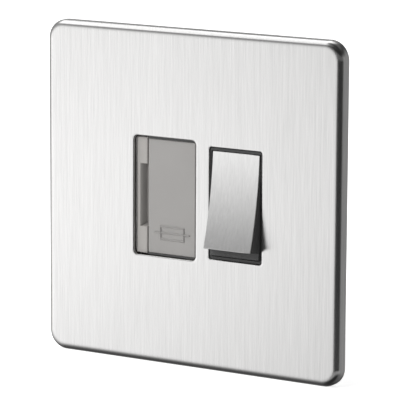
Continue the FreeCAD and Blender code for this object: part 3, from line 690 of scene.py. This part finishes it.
def layFloor():
    shape = bmesh.new()
    bmesh.ops.create_grid(shape, x_segments=1, y_segments=1, size=floor["side"] / 2)
    mesh = bpy.data.meshes.new("floor")
    shape.to_mesh(mesh)
    shape.free()
    paper = Finish("paper")
    colour = paper.tint(paper.noise((floor["grainPerM"],) * 3),
                        shade(floor["level"] * floor["grain"]), shade(floor["level"]))
    mesh.materials.append(paper.surface(Base_Color=colour, Roughness=floor["rough"],
                                        Emission_Color=shade(1.0), Emission_Strength=floor["glow"]))
    ground = bpy.data.objects.new("floor", mesh)
    ground.location.z = floor["height"]
    ground.visible_glossy = False
    bpy.context.scene.collection.objects.link(ground)


softBox = {"spot": (-0.55, -0.8, 0.75), "side": 0.9, "power": 14.0}


def hangSoftBox():
    data = bpy.data.lights.new("soft_box", "AREA")
    data.shape = "SQUARE"
    data.size = softBox["side"]
    data.energy = softBox["power"]
    lamp = bpy.data.objects.new("soft_box", data)
    lamp.location = softBox["spot"]
    lamp.rotation_euler = (-Vector(softBox["spot"])).to_track_quat("-Z", "Y").to_euler()
    lamp.visible_glossy = False
    bpy.context.scene.collection.objects.link(lamp)


# Surroundings that the steel mirrors, drawn as brightness along the parts of a direction:
# rise and height go with Z, side with X, depth with Y. Each stop is a place and a brightness
surroundings = {
    "peak": 2.0, "ambient": 0.022,
    # in front of the plate
    "rise": [(-1.0, 0.06), (-0.86, 0.06), (-0.82, 0.095), (-0.7, 0.2), (-0.53, 0.55),
             (-0.32, 1.05), (-0.23, 1.62), (-0.18, 1.84), (-0.13, 1.6), (-0.08, 1.5),
             (0.045, 1.28), (0.17, 0.92), (0.3, 0.58), (0.41, 0.45), (0.56, 0.52), (0.66, 1.9),
             (1.0, 1.95)],
    "side": [(-1.0, 0.25), (-0.97, 0.3), (-0.93, 0.8), (-0.8, 0.85), (-0.62, 1.0), (-0.5, 1.0),
             (-0.4, 0.35), (-0.3, 0.1), (0.0, 0.01), (1.0, 0.0)],
    # behind the plate, faded in over a width of Y from its start
    "riseBehind": [(-1.0, 0.06), (-0.8, 0.08), (-0.3, 0.28), (0.0, 0.28), (0.67, 0.28),
                   (0.78, 1.9), (1.0, 1.95)],
    "sideBehind": [(-1.0, 1.0), (-0.25, 1.0), (0.1, 0.08), (1.0, 0.02)],
    "behindStart": -0.1, "behindWidth": 0.25,
    # far right, faded in over a width of X
    "riseRight": [(-1.0, 0.05), (-0.6, 0.15), (-0.4, 0.28), (0.2, 0.28), (0.5, 0.03), (1.0, 0.0)],
    "depthRight": [(-1.0, 0.0), (-0.28, 0.0), (-0.1, 1.0), (1.0, 1.0)],
    "rightWidth": 0.25,
    # fill from the front and right, away from the height that the plate's right edge mirrors
    "riseFill": [(-1.0, 0.0), (-0.62, 0.0), (-0.45, 0.36), (-0.36, 0.36), (-0.25, 0.0),
                 (-0.1, 0.0), (-0.04, 0.12), (0.2, 0.12), (0.4, 0.0), (1.0, 0.0)],
    "sideFill": [(-1.0, 0.0), (-0.35, 0.0), (-0.15, 1.0), (1.0, 0.8)]}


def drawSurroundings():
    world = bpy.data.worlds.new("studio")
    world.use_nodes = True
    bpy.context.scene.world = world
    air = Finish("studio", world.node_tree)
    way = air.spot("Generated")
    across, inward, height = [air.axis(way, index) for index in range(3)]
    peak = surroundings["peak"]

    # A ramp's stops run from 0 to 1, a direction from -1 to 1
    def along(axis, key):
        stops = [((place + 1) / 2, level / peak) for place, level in surroundings[key]]
        return air.node("ShaderNodeValToRGB", {"stops": stops}, {"Fac": axis * 0.5 + 0.5}) * peak

    ahead = along(height, "rise") * along(across, "side")
    filling = along(height, "riseFill") * along(across, "sideFill")
    behind = along(height, "riseBehind") * along(across, "sideBehind")
    turned = inward.ramp(surroundings["behindStart"], surroundings["behindWidth"])
    beside = (along(height, "riseRight") * along(inward, "depthRight")
              * across.ramp(0.0, surroundings["rightWidth"]))
    glow = (ahead + filling) * (1 - turned) + behind * turned + beside + surroundings["ambient"]
    mirrored = air.node("ShaderNodeBackground", None, {"Color": glow, "Strength": 1.0})
    backdrop = air.node("ShaderNodeBackground", None, {"Color": shade(1.0), "Strength": 1.0})
    seen = air.node("ShaderNodeLightPath", output="Is Camera Ray")
    mixed = air.node("ShaderNodeMixShader", None, {0: seen, 1: mirrored, 2: backdrop})
    air.node("ShaderNodeOutputWorld", None, {"Surface": mixed})


placeCamera()
layFloor()
drawSurroundings()
hangSoftBox()
bpy.context.scene.view_settings.view_transform = "Standard"
print("camera and studio ready")
